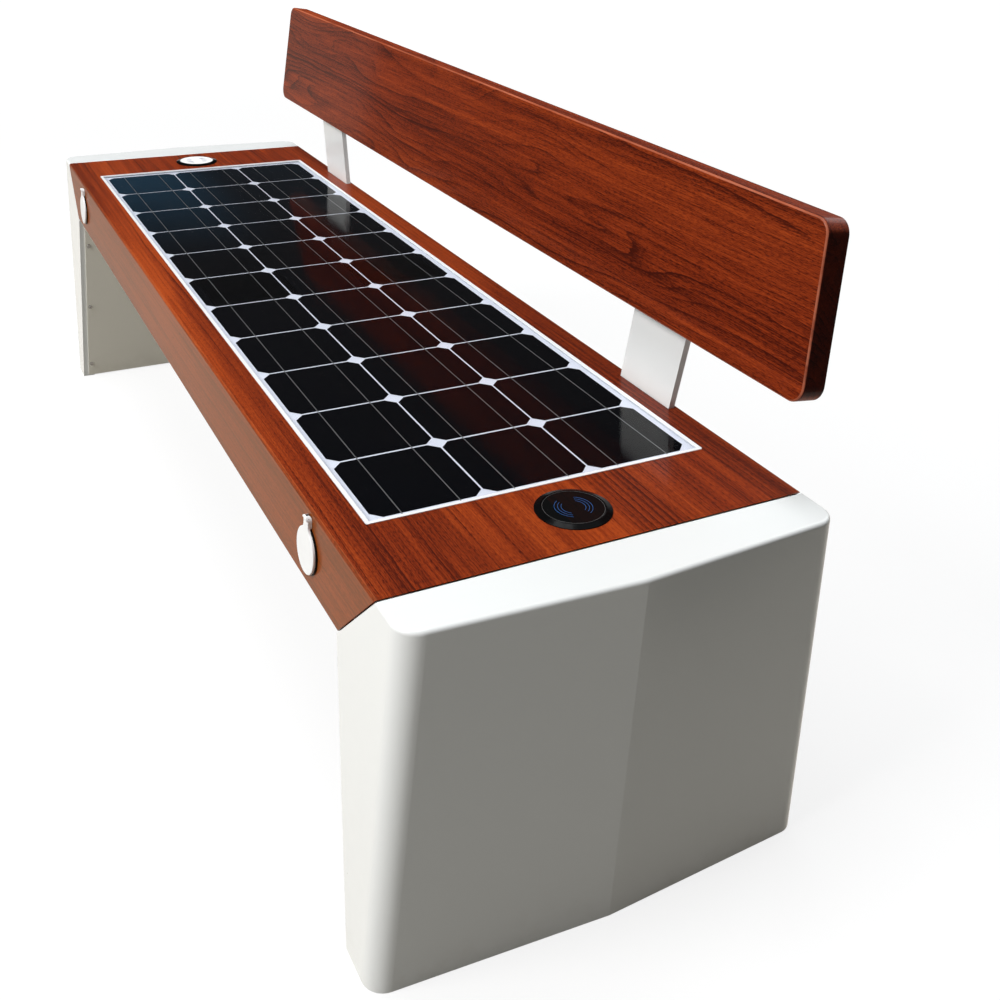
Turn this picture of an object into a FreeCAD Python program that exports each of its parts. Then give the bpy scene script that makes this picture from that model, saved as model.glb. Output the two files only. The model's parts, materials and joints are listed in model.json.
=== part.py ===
import FreeCAD
import Part
import math
import os

# Solar charging bench: two folded steel legs, a folded seat with a solar panel let into its top,
# wireless chargers and capped USB sockets at both ends, and a leaning back board on two posts.
# Millimetres. X runs along the bench, the sitter faces -Y, Z is up, "right" is +X.
# The origin is on the floor under the middle of the base.

V = FreeCAD.Vector
os.makedirs("parts", exist_ok=True)

# The whole bench
LENGTH = 1800.0
SEAT_HEIGHT = 450.0
SEAT_DEPTH = 478.0
BASE_DEPTH = 556.0
END_RIDGE = 15.0

# The legs, seen from the front: widths are taken inwards from the corners of the end face
LEG_TOP_WIDTH = 56.0
LEG_NOSE_WIDTH = 144.0
LEG_FOOT_WIDTH = 70.0
LEG_SHEET = 2.5
LEG_CORNER_RADIUS = 25.0
RIDGE_RADIUS = 3.5
EDGE_RADIUS = 4.5
LEG_RETURN = 22.0
MITRE_RETURN = 12.0
NOSE_STRIP = 12.0

# The plate that closes the inner side of each leg
INNER_PLATE = 2.0
INNER_PLATE_SETBACK = 10.0
INNER_PLATE_END = 3.0
PLATE_SCREW_SETBACK = 16.0
PLATE_SCREW_LOW = 30.0
PLATE_SCREW_TOP = 55.0
PLATE_SCREW_COUNT = 3
SMALL_HEAD_RADIUS = 4.0
SMALL_HEAD_HEIGHT = 2.4
SMALL_SHANK_RADIUS = 2.0
SMALL_SHANK = 9.0
SMALL_SOCKET = 2.5
SMALL_SOCKET_DEPTH = 1.3

# The seat
SEAT_DROP = 91.0
SEAT_SHEET = 2.5
SEAT_LIP = 22.0
FOLD = 2.0
JOINT_GAP = 2.0
COVER_SHEET = 1.5
COVER_EDGE = 9.0
COVER_MARGIN = 10.0
COVER_SCREW_INSET = 7.0
COVER_SCREW_COUNT = 8

# The welded frame inside each leg, bolted to the ground
BASE_PLATE = 6.0
TUBE = 40.0
TUBE_WALL = 3.0
TUBE_SETBACK = 8.0
TUBE_FROM_END = 15.0
ANCHOR_SPACING = 320.0
ANCHOR_RADIUS = 6.5

# The stepped rails under the seat and the channels across them
RAIL_SHEET = 2.5
RAIL_FLANGE = 21.0
RAIL_LEDGE = 25.0
RAIL_LIP = 28.0
RAIL_UNDER = 75.5
RAIL_WEB_GAP = 3.0
RAIL_END_GAP = 15.0
MEMBER_WIDTH = 50.0
MEMBER_HEIGHT = 15.0
MEMBER_END_GAP = 131.0
MEMBER_COUNT = 6

# The solar panel
CELL_PITCH = 126.5
CELL_GAP_LONG = 3.3
CELL_GAP_CROSS = 2.4
CELL_CORNER = 11.0
CELL_THICKNESS = 0.4
CELL_BORDER = 10.25
CELL_GLASS = 2.0
BACKSHEET = 1.0
RIM_WIDTH = 4.5
RIM_WALL = 1.8
RIM_LIP = 1.2
RIM_PROUD = 0.6
RIM_SHELF = 12.0
RIM_FOOT = 22.0
RIM_HEIGHT = 20.6
PANEL_CORNER = 3.0

# Electrical boxes under the panel
BOX_CORNER = 6.0
BATTERY_LENGTH = 300.0
BATTERY_DEPTH = 200.0
BATTERY_HEIGHT = 46.0
BATTERY_LID = 6.0
CONTROLLER_LENGTH = 250.0
CONTROLLER_DEPTH = 110.0
CONTROLLER_HEIGHT = 34.0
FIN_COUNT = 9
FIN_HEIGHT = 8.0
FIN_WIDTH = 2.5
JUNCTION_LENGTH = 96.0
JUNCTION_DEPTH = 78.0
JUNCTION_HEIGHT = 18.0
JUNCTION_END_GAP = 48.0
GLAND_RADIUS = 6.0
GLAND_LENGTH = 12.0

# Wireless chargers
CHARGER_RADIUS = 40.0
CHARGER_INSET = 67.0
CHARGER_PROUD = 2.9
CHARGER_BEVEL_WIDTH = 6.0
CHARGER_BEVEL_DROP = 2.0
CHARGER_DISC_RADIUS = 33.2
CHARGER_DISC = 2.6
CHARGER_BARREL_RADIUS = 30.2
CHARGER_DEPTH = 22.0
CHARGER_WALL = 2.6
COIL_OUTER = 24.0
COIL_INNER = 11.0
COIL_HEIGHT = 2.2
CHARGER_NUT_RADIUS = 36.5
CHARGER_NUT_HEIGHT = 6.0
CHARGER_NOTCH_DEPTH = 3.0
CHARGER_NOTCH_WIDTH = 8.0
CHARGER_NOTCH_COUNT = 6

# USB sockets in the front face, each with a cap hinged at its top
USB_INSET = 86.0
USB_DROP = 47.0
USB_FLANGE_RADIUS = 26.5
USB_FLANGE = 2.0
USB_BARREL_RADIUS = 18.0
USB_BARREL = 30.0
USB_NUT_RADIUS = 23.0
USB_NUT_HEIGHT = 7.0
PORT_WIDTH = 14.0
PORT_HEIGHT = 6.6
PORT_DEPTH = 12.0
PORT_PITCH = 14.0
CAP_RADIUS = 25.5
CAP_THICKNESS = 2.6
CAP_GAP = 0.3
CAP_EDGE = 0.9
TAB_WIDTH = 13.0
TAB_TOP = 41.0
TAB_BLEND = 9.0
HINGE_RADIUS = 3.0
EAR_WIDTH = 3.4
EAR_RADIUS = 1.8
HINGE_PIN_RADIUS = 0.85
HINGE_PIN_COVER = 1.2
HINGE_PLAY = 0.05
SIDE_PLAY = 0.3
CAP_TURN = 100.0
EAR_TOP_ANGLE = 250.0
EAR_LOW_ANGLE = 356.0
SLOT_STEPS = 6

# The back board and its posts
BACK_OVERHANG = 5.0
BACK_TAPER = 29.0
BACK_HEIGHT = 179.0
BACK_THICKNESS = 28.0
BACK_LEAN = 7.1
BACK_CORNER_RADIUS = 18.0
BACK_EDGE_RADIUS = 3.0
BACK_SHEET = 2.5
BACK_ABOVE_SEAT = 104.0
BACK_FROM_REAR = 30.0
STIFFENER_WIDTH = 74.0
STIFFENER_SHEET = 3.0
STIFFENER_FLANGE = 16.0
STIFFENER_END_GAP = 60.0
POST_INSET = 284.7
POST_WIDTH = 107.0
POST_THICKNESS = 8.0
POST_FROM_REAR = 6.0
POST_SPLAY = 10.0
POST_BEND_GAP = 6.0
POST_TOP_GAP = 29.0
POST_FOOT = 72.0
POST_CLEARANCE = 1.0
BRACKET_SHEET = 4.0
BRACKET_WIDTH = 90.0
BRACKET_FLANGE = 28.0
BRACKET_HEIGHT = 40.0
BRACKET_DROP = 25.0
BOLT_RADIUS = 4.0
BOLT_ACROSS = 13.0
BOLT_PITCH = 50.0
BOLT_HEAD = 5.0
NUT_HEIGHT = 6.0

# Clearances
FIT = 0.3
HOLE_PLAY = 0.25
BEYOND = 40.0
PAST = 1.0

end_corner = LENGTH / 2 - END_RIDGE
seat_end = end_corner - LEG_TOP_WIDTH
nose = end_corner - LEG_NOSE_WIDTH
foot = end_corner - LEG_FOOT_WIDTH
seat_low = SEAT_HEIGHT - SEAT_DROP
under_seat = SEAT_HEIGHT - SEAT_SHEET
charger_x = seat_end - CHARGER_INSET
usb_x = nose - USB_INSET
back_end = seat_end + BACK_OVERHANG
post_x = back_end - POST_INSET
tube_x = end_corner - TUBE_FROM_END - TUBE / 2
rail_low = SEAT_HEIGHT - SEAT_SHEET - RAIL_UNDER
panel_seat = SEAT_HEIGHT + RIM_PROUD - RIM_HEIGHT
screw_hole = SMALL_SHANK_RADIUS + HOLE_PLAY
bolt_hole = BOLT_RADIUS + HOLE_PLAY


def half_depth(z):
    """Half of the bench's depth at height z: front and back lean in towards the seat."""
    return (BASE_DEPTH - (BASE_DEPTH - SEAT_DEPTH) * z / SEAT_HEIGHT) / 2


# The panel has as many whole cells as fit between the chargers and between the rails
cell_room_long = 2 * (charger_x - CHARGER_RADIUS - CELL_BORDER)
rail_room = POST_FROM_REAR + POST_THICKNESS + RAIL_FLANGE
cell_room_cross = SEAT_DEPTH - 2 * rail_room - 2 * CELL_BORDER
cells_long = int(cell_room_long / CELL_PITCH)
cells_cross = int(cell_room_cross / CELL_PITCH)
panel_long = cells_long * CELL_PITCH + 2 * CELL_BORDER
panel_cross = cells_cross * CELL_PITCH + 2 * CELL_BORDER
rail_web = panel_cross / 2 + RAIL_WEB_GAP
rail_inner = rail_web - RAIL_LEDGE
member_pitch = (panel_long - 2 * MEMBER_END_GAP) / (MEMBER_COUNT - 1)


# Flat outlines and folded sheet

def meet(first, second):
    """The point where two lines a x + b y = c cross."""
    a, b, c = first
    d, e, f = second
    spread = a * e - b * d
    return ((c * e - b * f) / spread, (a * f - c * d) / spread)


def moved_line(start, end, distance):
    """The line through two points, moved to its left."""
    size = math.hypot(end[0] - start[0], end[1] - start[1])
    a, b = (start[1] - end[1]) / size, (end[0] - start[0]) / size
    return (a, b, a * start[0] + b * start[1] + distance)


def inset(outline, amounts):
    """An anticlockwise outline with each side moved inwards by its own amount."""
    ends = outline[1:] + outline[:1]
    lines = [moved_line(*side) for side in zip(outline, ends, amounts)]
    return [meet(lines[i - 1], lines[i]) for i in range(len(lines))]


def sideways(path, distance):
    """An open path moved to its left."""
    lines = [moved_line(start, end, distance) for start, end in zip(path, path[1:])]
    inner = [meet(first, second) for first, second in zip(lines, lines[1:])]
    ends = []
    for line, point in ((lines[0], path[0]), (lines[-1], path[-1])):
        a, b, c = line
        away = c - a * point[0] - b * point[1]
        ends.append((point[0] + a * away, point[1] + b * away))
    return ends[:1] + inner + ends[1:]


def rounded_run(points, radii):
    """Edges of an open run of straight lines whose corners are arcs."""
    edges = []
    start = points[0]
    for before, corner, after, radius in zip(points, points[1:], points[2:], radii):
        into = (corner - before).normalize()
        out = (after - corner).normalize()
        turn = into.getAngle(out)
        reach = radius * math.tan(turn / 2)
        towards = (out - into).normalize()
        middle = corner + towards * (radius / math.cos(turn / 2) - radius)
        first, last = corner - into * reach, corner + out * reach
        edges.append(Part.LineSegment(start, first).toShape())
        edges.append(Part.Arc(first, middle, last).toShape())
        start = last
    edges.append(Part.LineSegment(start, points[-1]).toShape())
    return edges


def rounded_face(points, radius):
    """A closed outline of vectors with all its corners rounded."""
    start = (points[0] + points[-1]) * 0.5
    run = [start] + points + [start]
    return Part.Face(Part.Wire(rounded_run(run, [radius] * len(points))))


def folded(path, sheet, place, travel):
    """Folded sheet: path is the cut line of one side, and the sheet lies to its left."""
    other = sideways(path, sheet)
    near, far = [], []
    for before, corner, after in zip(path, path[1:], path[2:]):
        cross = (corner[0] - before[0]) * (after[1] - corner[1])
        cross -= (corner[1] - before[1]) * (after[0] - corner[0])
        near.append(FOLD + sheet if cross > 0 else FOLD)
        far.append(FOLD if cross > 0 else FOLD + sheet)
    one = [place(u, v) for u, v in path]
    two = [place(u, v) for u, v in other]
    edges = rounded_run(one, near)
    edges.append(Part.LineSegment(one[-1], two[-1]).toShape())
    edges += rounded_run(two[::-1], far[::-1])
    edges.append(Part.LineSegment(two[0], one[0]).toShape())
    return Part.Face(Part.Wire(Part.__sortEdges__(edges))).extrude(travel)


def folded_along_x(path, sheet, start, end):
    return folded(path, sheet, lambda y, z: V(start, y, z), V(end - start, 0, 0))


def folded_along_y(path, sheet, start, end):
    return folded(path, sheet, lambda x, z: V(x, start, z), V(0, end - start, 0))


def folded_along_z(path, sheet, start, end):
    return folded(path, sheet, lambda x, y: V(x, y, start), V(0, 0, end - start))


def extruded(points, travel):
    return Part.Face(Part.makePolygon(points + points[:1])).extrude(travel)


def along_x(outline, start, end):
    return extruded([V(start, y, z) for y, z in outline], V(end - start, 0, 0))


def along_y(outline, start, end):
    return extruded([V(x, start, z) for x, z in outline], V(0, end - start, 0))


def along_z(outline, start, end):
    return extruded([V(x, y, start) for x, y in outline], V(0, 0, end - start))


def block(x0, x1, y0, y1, z0, z1):
    return Part.makeBox(x1 - x0, y1 - y0, z1 - z0, V(x0, y0, z0))


def rounded_block(half_x, half_y, z0, z1, radius, centre_x=0.0):
    """An upright block, centred in Y, with round upright edges."""
    corners = [(-1, -1), (1, -1), (1, 1), (-1, 1)]
    points = [V(centre_x + sx * half_x, sy * half_y, z0) for sx, sy in corners]
    return rounded_face(points, radius).extrude(V(0, 0, z1 - z0))


def turned(profile):
    """A solid of revolution about Z from an outline of (radius, height) points."""
    points = [V(r, 0, z) for r, z in profile]
    return Part.Face(Part.makePolygon(points + points[:1])).revolve(V(0, 0, 0), V(0, 0, 1), 360)


def washer(outer, inner, z0, z1):
    return turned([(inner, z0), (outer, z0), (outer, z1), (inner, z1)])


def fused(pieces):
    return pieces[0].multiFuse(pieces[1:]).removeSplitter()


def mirrored(shape):
    return shape.mirror(V(0, 0, 0), V(1, 0, 0))


def save(name, *pieces):
    """Write one node: a solid, or a group of separate solids."""
    solids = [solid for piece in pieces for solid in piece.Solids]
    shape = solids[0] if len(solids) == 1 else Part.makeCompound(solids)
    if not shape.isValid():
        print("not valid:", name)
    shape.exportStep("parts/" + name + ".step")


def save_pair(name, *pieces):
    save(name + "_right", *pieces)
    save(name + "_left", *[mirrored(piece) for piece in pieces])


# Fasteners

def pointed(shape, place, outward):
    """Turn a shape made along +Z so that it points outwards, and set it down at a place."""
    shape = shape.copy()
    shape.Placement = FreeCAD.Placement(place, FreeCAD.Rotation(V(0, 0, 1), outward))
    return shape


def small_screw(place, outward):
    """A round-headed hexagon-socket screw with its head standing on the place."""
    head = Part.makeCylinder(SMALL_HEAD_RADIUS, SMALL_HEAD_HEIGHT)
    rim = [edge for edge in head.Edges if edge.BoundBox.ZMin > SMALL_HEAD_HEIGHT / 2]
    head = head.makeFillet(SMALL_HEAD_HEIGHT / 2, rim)
    shank = Part.makeCylinder(SMALL_SHANK_RADIUS, SMALL_SHANK, V(0, 0, -SMALL_SHANK))
    socket = hexagon(SMALL_SOCKET, SMALL_HEAD_HEIGHT - SMALL_SOCKET_DEPTH, SMALL_HEAD_HEIGHT + PAST)
    return pointed(head.fuse(shank).cut(socket), place, outward)


def hexagon(across, z0, z1):
    corner = across / 2 / math.cos(math.pi / 6)
    angles = [math.radians(60 * i) for i in range(6)]
    return along_z([(corner * math.cos(a), corner * math.sin(a)) for a in angles], z0, z1)


def hex_bolt(place, outward, grip, with_nut):
    """A bolt with its head on the place, ending in a nut or flush with the tapped piece it grips."""
    length = grip + NUT_HEIGHT + BOLT_RADIUS if with_nut else grip
    shank = Part.makeCylinder(BOLT_RADIUS, length, V(0, 0, -length))
    pieces = [hexagon(BOLT_ACROSS, 0, BOLT_HEAD), shank]
    if with_nut:
        pieces.append(hexagon(BOLT_ACROSS, -grip - NUT_HEIGHT, -grip))
    return pointed(fused(pieces), place, outward)


def drilled(shape, radius, places, outward, depth):
    """Cut round holes that are centred on the places and run along one direction."""
    for place in places:
        start = place - outward * (depth / 2)
        shape = shape.cut(Part.makeCylinder(radius, depth, start, outward))
    return shape


# The legs

def section(amount, z0, z1):
    """The bench's front-to-back outline between two heights, with its two faces moved inwards."""
    low, high = half_depth(z0), half_depth(z1)
    return inset([(-low, z0), (low, z0), (high, z1), (-high, z1)], [0, amount, 0, amount])


def upright_edges(form):
    """The tall edges on the outer side of the right leg."""
    tall = [edge for edge in form.Edges if edge.BoundBox.ZLength > SEAT_HEIGHT / 2]
    return [edge for edge in tall if edge.BoundBox.XMin > seat_end]


def leg_form(inward):
    """The right leg as one block, with every face but the floor moved inwards."""
    below = -BEYOND if inward else 0
    sides = inset(section(0, 0, SEAT_HEIGHT), [below, inward, inward, inward])
    front = [(foot, 0), (LENGTH, 0), (LENGTH, SEAT_HEIGHT), (seat_end, SEAT_HEIGHT), (nose, seat_low)]
    front = inset(front, [below, 0, inward, JOINT_GAP / 2 + inward, inward])
    middle_depth = (BASE_DEPTH + SEAT_DEPTH) / 4
    reach = BASE_DEPTH
    back = end_corner + END_RIDGE - END_RIDGE * reach / middle_depth
    plan = [(0, -reach), (back, -reach), (end_corner + END_RIDGE, 0), (back, reach), (0, reach)]
    plan = inset(plan, [0, inward, inward, 0, 0])
    form = along_x(sides, 0, LENGTH)
    form = form.common(along_y(front, -reach, reach))
    form = form.common(along_z(plan, -2 * BEYOND, 2 * SEAT_HEIGHT))
    corners = [edge for edge in upright_edges(form) if abs(edge.CenterOfMass.y) > PAST]
    form = form.makeFillet(LEG_CORNER_RADIUS - inward, corners)
    if inward < RIDGE_RADIUS:
        ridge = [edge for edge in upright_edges(form) if abs(edge.CenterOfMass.y) < PAST]
        form = form.makeFillet(RIDGE_RADIUS - inward, ridge)
    if inward < EDGE_RADIUS:
        mitre = seat_end + JOINT_GAP + 2 * inward + PAST
        rim = [edge for edge in form.Edges if edge.BoundBox.ZMin > SEAT_HEIGHT - inward - FIT]
        rim = [edge for edge in rim if edge.CenterOfMass.x > mitre]
        form = form.makeFillet(EDGE_RADIUS - inward, rim)
    return form


slant_run = V(foot - nose, 0, -seat_low).normalize()
slant_out = V(slant_run.z, 0, -slant_run.x)


def slant_point(z, y=0.0):
    """A point on the leg's slanting inner side."""
    return V(nose + (foot - nose) * (seat_low - z) / seat_low, y, z)


def plate_screw_places():
    """Points where the inner plate's screws pass through the leg's slanting inner side."""
    step = (seat_low - PLATE_SCREW_TOP - PLATE_SCREW_LOW) / (PLATE_SCREW_COUNT - 1)
    places = []
    for row in range(PLATE_SCREW_COUNT):
        z = PLATE_SCREW_LOW + row * step
        for side in (-1, 1):
            places.append(slant_point(z, side * (half_depth(z) - PLATE_SCREW_SETBACK)))
    return places


def leg_shell():
    """The folded leg: open at the floor, and open on its inner side between its returns."""
    shell = leg_form(0).cut(leg_form(LEG_SHEET))
    low = [(nose - BEYOND, seat_low - NOSE_STRIP), (foot - BEYOND, -PAST)]
    low += [(foot + TUBE / 2, -PAST), (nose + BEYOND, seat_low - NOSE_STRIP)]
    window = along_y(low, -BASE_DEPTH, BASE_DEPTH)
    shell = shell.cut(window.common(along_x(section(LEG_RETURN, -BEYOND, SEAT_HEIGHT), 0, LENGTH)))
    top = under_seat
    high = [(nose - BEYOND, seat_low + NOSE_STRIP), (nose + BEYOND, seat_low + NOSE_STRIP)]
    high += [(seat_end + BEYOND, top), (seat_end - BEYOND, top)]
    window = along_y(high, -BASE_DEPTH, BASE_DEPTH)
    shell = shell.cut(window.common(along_x(section(MITRE_RETURN, 0, SEAT_HEIGHT), 0, LENGTH)))
    return drilled(shell, screw_hole, plate_screw_places(), slant_out, 4 * LEG_SHEET)


def leg_inner_plate():
    """The flat plate screwed over the slanting inner side."""
    top = V(nose, 0, seat_low) + slant_run * INNER_PLATE_END
    low = V(foot, 0, 0) - slant_run * INNER_PLATE_END
    corners = [top, low, low + slant_out * INNER_PLATE, top + slant_out * INNER_PLATE]
    plate = along_y([(p.x, p.z) for p in corners], -BASE_DEPTH, BASE_DEPTH)
    plate = plate.common(along_x(section(INNER_PLATE_SETBACK, 0, SEAT_HEIGHT), 0, LENGTH))
    return drilled(plate, screw_hole, plate_screw_places(), slant_out, 4 * INNER_PLATE)


def leg_plate_screws():
    return [small_screw(place + slant_out * INNER_PLATE, slant_out) for place in plate_screw_places()]


def upright_side(side, near, far, top):
    """A strip that slopes with the front or back, between two distances behind that face."""
    low = BASE_PLATE
    corners = ((near, low), (near, top), (far, top), (far, low))
    return [(side * (half_depth(z) - away), z) for away, z in corners]


def end_frame():
    """Welded tube frame inside the right leg: foot plate, two sloping uprights and a cross beam."""
    slab = block(0, LENGTH, -BASE_DEPTH, BASE_DEPTH, 0, BASE_PLATE)
    foot_plate = leg_form(LEG_SHEET + FIT).common(slab)
    x0, x1 = tube_x - TUBE / 2, tube_x + TUBE / 2
    beam_low = rail_low - TUBE
    pieces, hollows = [foot_plate], []
    outer = LEG_SHEET + TUBE_SETBACK
    for side in (-1, 1):
        pieces.append(along_x(upright_side(side, outer, outer + TUBE, beam_low), x0, x1))
        wall = upright_side(side, outer + TUBE_WALL, outer + TUBE - TUBE_WALL, beam_low)
        hollows.append(along_x(wall, x0 + TUBE_WALL, x1 - TUBE_WALL))
    beam_end = half_depth(beam_low) - outer
    beam = block(x0, x1, -beam_end, beam_end, beam_low, rail_low)
    wall = TUBE_WALL
    bore = block(x0 + wall, x1 - wall, -beam_end, beam_end, beam_low + wall, rail_low - wall)
    frame = fused(pieces)
    for hollow in hollows:
        frame = frame.cut(hollow)
    frame = fused([frame, beam.cut(bore)])
    places = [V(tube_x, side * ANCHOR_SPACING / 2, 0) for side in (-1, 1)]
    return drilled(frame, ANCHOR_RADIUS, places, V(0, 0, 1), 3 * BASE_PLATE)


# The seat and what carries it

def usb_place(side):
    """The middle of a USB socket on the sloping front face."""
    z = SEAT_HEIGHT - USB_DROP
    return V(side * usb_x, -half_depth(z), z)


face_slope = math.atan2((BASE_DEPTH - SEAT_DEPTH) / 2, SEAT_HEIGHT)
face_out = V(0, -math.cos(face_slope), math.sin(face_slope))


def on_front(shape, side):
    """Stand a shape, made with X across, Y up and Z outwards, on the front face at a USB socket."""
    shape = shape.copy()
    turn = FreeCAD.Rotation(V(1, 0, 0), 90 - math.degrees(face_slope))
    shape.Placement = FreeCAD.Placement(usb_place(side), turn)
    return shape


def seat_pan():
    """The folded seat: top, sloping front and back, and lips turned in below."""
    low, top = seat_low, SEAT_HEIGHT
    path = [(half_depth(low) - SEAT_LIP, low), (half_depth(low), low), (half_depth(top), top)]
    path += [(-y, z) for y, z in reversed(path)]
    pan = folded_along_x(path, SEAT_SHEET, -seat_end, seat_end)
    ends = [(-nose, low), (nose, low), (seat_end, top), (-seat_end, top)]
    ends = inset(ends, [0, JOINT_GAP / 2, 0, JOINT_GAP / 2])
    pan = pan.common(along_y(ends, -BASE_DEPTH, BASE_DEPTH))
    window = rounded_block(panel_long / 2 + FIT, panel_cross / 2 + FIT, low, top + PAST, PANEL_CORNER)
    pan = pan.cut(window)
    for side in (-1, 1):
        start = V(side * charger_x, 0, top - 3 * SEAT_SHEET)
        pan = pan.cut(Part.makeCylinder(CHARGER_BARREL_RADIUS + FIT, 4 * SEAT_SHEET, start))
        pan = pan.cut(back_post(side, POST_CLEARANCE))
        socket = Part.makeCylinder(USB_BARREL_RADIUS + FIT, 6 * SEAT_SHEET, V(0, 0, -3 * SEAT_SHEET))
        pan = pan.cut(on_front(socket, side))
    return drilled(pan, screw_hole, cover_screw_places(), V(0, 0, 1), 8 * SEAT_SHEET)


def seat_rail(side):
    """A stepped rail: its top carries the seat, its ledge the panel, its lip the cross members."""
    top = under_seat
    path = [(rail_web + RAIL_FLANGE, top), (rail_web, top)]
    path += [(rail_web, panel_seat), (rail_inner, panel_seat)]
    path += [(rail_inner, rail_low + RAIL_SHEET), (rail_inner - RAIL_LIP, rail_low + RAIL_SHEET)]
    reach = end_corner - RAIL_END_GAP
    rail = folded_along_x(path, RAIL_SHEET, -reach, reach)
    if side < 0:
        rail = rail.mirror(V(0, 0, 0), V(0, 1, 0))
    else:
        rail = drilled(rail, bolt_hole, flange_bolt_places(), V(0, 1, 0), 6 * RAIL_SHEET)
    return rail


def member_places():
    return [(i - (MEMBER_COUNT - 1) / 2) * member_pitch for i in range(MEMBER_COUNT)]


def cross_members():
    """Shallow channels that lie open side down on the lips of the two rails."""
    members = []
    foot_z = rail_low + RAIL_SHEET
    reach = rail_inner - FOLD - FIT
    for x in member_places():
        right, left = x + MEMBER_WIDTH / 2, x - MEMBER_WIDTH / 2
        top = foot_z + MEMBER_HEIGHT
        path = [(right, foot_z), (right, top), (left, top), (left, foot_z)]
        members.append(folded_along_y(path, RAIL_SHEET, -reach, reach))
    return members


def cover_half():
    return half_depth(seat_low) - COVER_MARGIN


def cover_screw_places():
    """Points on the underside of the seat's lips where the bottom cover is screwed on."""
    step = 2 * (nose - LEG_RETURN - COVER_MARGIN) / (COVER_SCREW_COUNT - 1)
    start = -(COVER_SCREW_COUNT - 1) / 2 * step
    y = cover_half() - COVER_SCREW_INSET
    row = [start + i * step for i in range(COVER_SCREW_COUNT)]
    return [V(x, side * y, seat_low) for x in row for side in (-1, 1)]


def bottom_cover():
    """The tray that closes the seat from below: it lies on the seat's lips."""
    z = seat_low + SEAT_SHEET
    half = cover_half()
    path = [(-half, z + COVER_EDGE), (-half, z), (half, z), (half, z + COVER_EDGE)]
    reach = nose - COVER_MARGIN
    cover = folded_along_x(path, COVER_SHEET, -reach, reach)
    return drilled(cover, screw_hole, cover_screw_places(), V(0, 0, 1), 8 * SEAT_SHEET)


def bottom_cover_screws():
    return [small_screw(place, V(0, 0, -1)) for place in cover_screw_places()]


# The solar panel

laminate_low = SEAT_HEIGHT + RIM_PROUD - RIM_LIP - CELL_GLASS - CELL_THICKNESS - BACKSHEET


def panel_rim():
    """The slim frame round the panel, built up from rings like its extruded section."""
    top = SEAT_HEIGHT + RIM_PROUD
    levels = [(panel_seat, RIM_FOOT), (panel_seat + RIM_WALL, RIM_WALL)]
    levels += [(laminate_low - RIM_WALL, RIM_SHELF), (laminate_low, RIM_WALL)]
    levels += [(top - RIM_LIP, RIM_WIDTH), (top, 0)]
    rings = []
    for (z0, width), (z1, _) in zip(levels, levels[1:]):
        outer = rounded_block(panel_long / 2, panel_cross / 2, z0, z1, PANEL_CORNER)
        half_x, half_y = panel_long / 2 - width, panel_cross / 2 - width
        rings.append(outer.cut(block(-half_x, half_x, -half_y, half_y, z0, z1)))
    return fused(rings)


def laminate(z0, z1):
    """One flat layer of the panel, held in the rim's groove."""
    half_x = panel_long / 2 - RIM_WALL - FIT
    half_y = panel_cross / 2 - RIM_WALL - FIT
    return block(-half_x, half_x, -half_y, half_y, z0, z1)


def solar_cells():
    """The cells: near-square wafers with clipped corners, in rows and columns."""
    half_x, half_y = (CELL_PITCH - CELL_GAP_LONG) / 2, (CELL_PITCH - CELL_GAP_CROSS) / 2
    clip = CELL_CORNER
    outline = [(half_x - clip, -half_y), (half_x, clip - half_y)]
    outline += [(half_x, half_y - clip), (half_x - clip, half_y)]
    outline += [(-x, -y) for x, y in outline]
    wafer = along_z(outline, laminate_low + BACKSHEET, laminate_low + BACKSHEET + CELL_THICKNESS)
    cells = []
    for column in range(cells_long):
        for row in range(cells_cross):
            x = (column - (cells_long - 1) / 2) * CELL_PITCH
            y = (row - (cells_cross - 1) / 2) * CELL_PITCH
            cells.append(wafer.translated(V(x, y, 0)))
    return cells


def junction_box():
    """The box under the panel where its two leads start."""
    half_x, half_y = JUNCTION_LENGTH / 2, JUNCTION_DEPTH / 2
    x = panel_long / 2 - JUNCTION_END_GAP - half_x
    low = laminate_low - JUNCTION_HEIGHT
    body = rounded_block(half_x, half_y, low, laminate_low, BOX_CORNER, x)
    start = V(x - half_x, half_y / 2, low + JUNCTION_HEIGHT / 2)
    gland = Part.makeCylinder(GLAND_RADIUS, GLAND_LENGTH, start, V(-1, 0, 0))
    return fused([body, gland, gland.translated(V(0, -half_y, 0))])


def member_top():
    return rail_low + RAIL_SHEET + MEMBER_HEIGHT


def battery_box():
    """The battery pack, a box with an overhanging lid, on the two middle cross members."""
    low = member_top()
    half_x, half_y = BATTERY_LENGTH / 2, BATTERY_DEPTH / 2
    top = low + BATTERY_HEIGHT
    body = rounded_block(half_x, half_y, low, top - BATTERY_LID, BOX_CORNER)
    wide = BATTERY_LID / 2
    lid = rounded_block(half_x + wide, half_y + wide, top - BATTERY_LID, top, BOX_CORNER + wide)
    return fused([body, lid])


def charge_controller():
    """The charge controller: a finned housing on the two left cross members."""
    x = (member_places()[0] + member_places()[1]) / 2
    low = member_top()
    top = low + CONTROLLER_HEIGHT
    body = rounded_block(CONTROLLER_LENGTH / 2, CONTROLLER_DEPTH / 2, low, top, BOX_CORNER, x)
    step = (CONTROLLER_LENGTH - 2 * BOX_CORNER - FIN_WIDTH) / (FIN_COUNT - 1)
    half_y = CONTROLLER_DEPTH / 2 - BOX_CORNER
    fins = []
    for i in range(FIN_COUNT):
        x0 = x - CONTROLLER_LENGTH / 2 + BOX_CORNER + i * step
        fins.append(block(x0, x0 + FIN_WIDTH, -half_y, half_y, top, top + FIN_HEIGHT))
    return fused([body] + fins)


# Wireless chargers, made about Z at the seat's top

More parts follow.
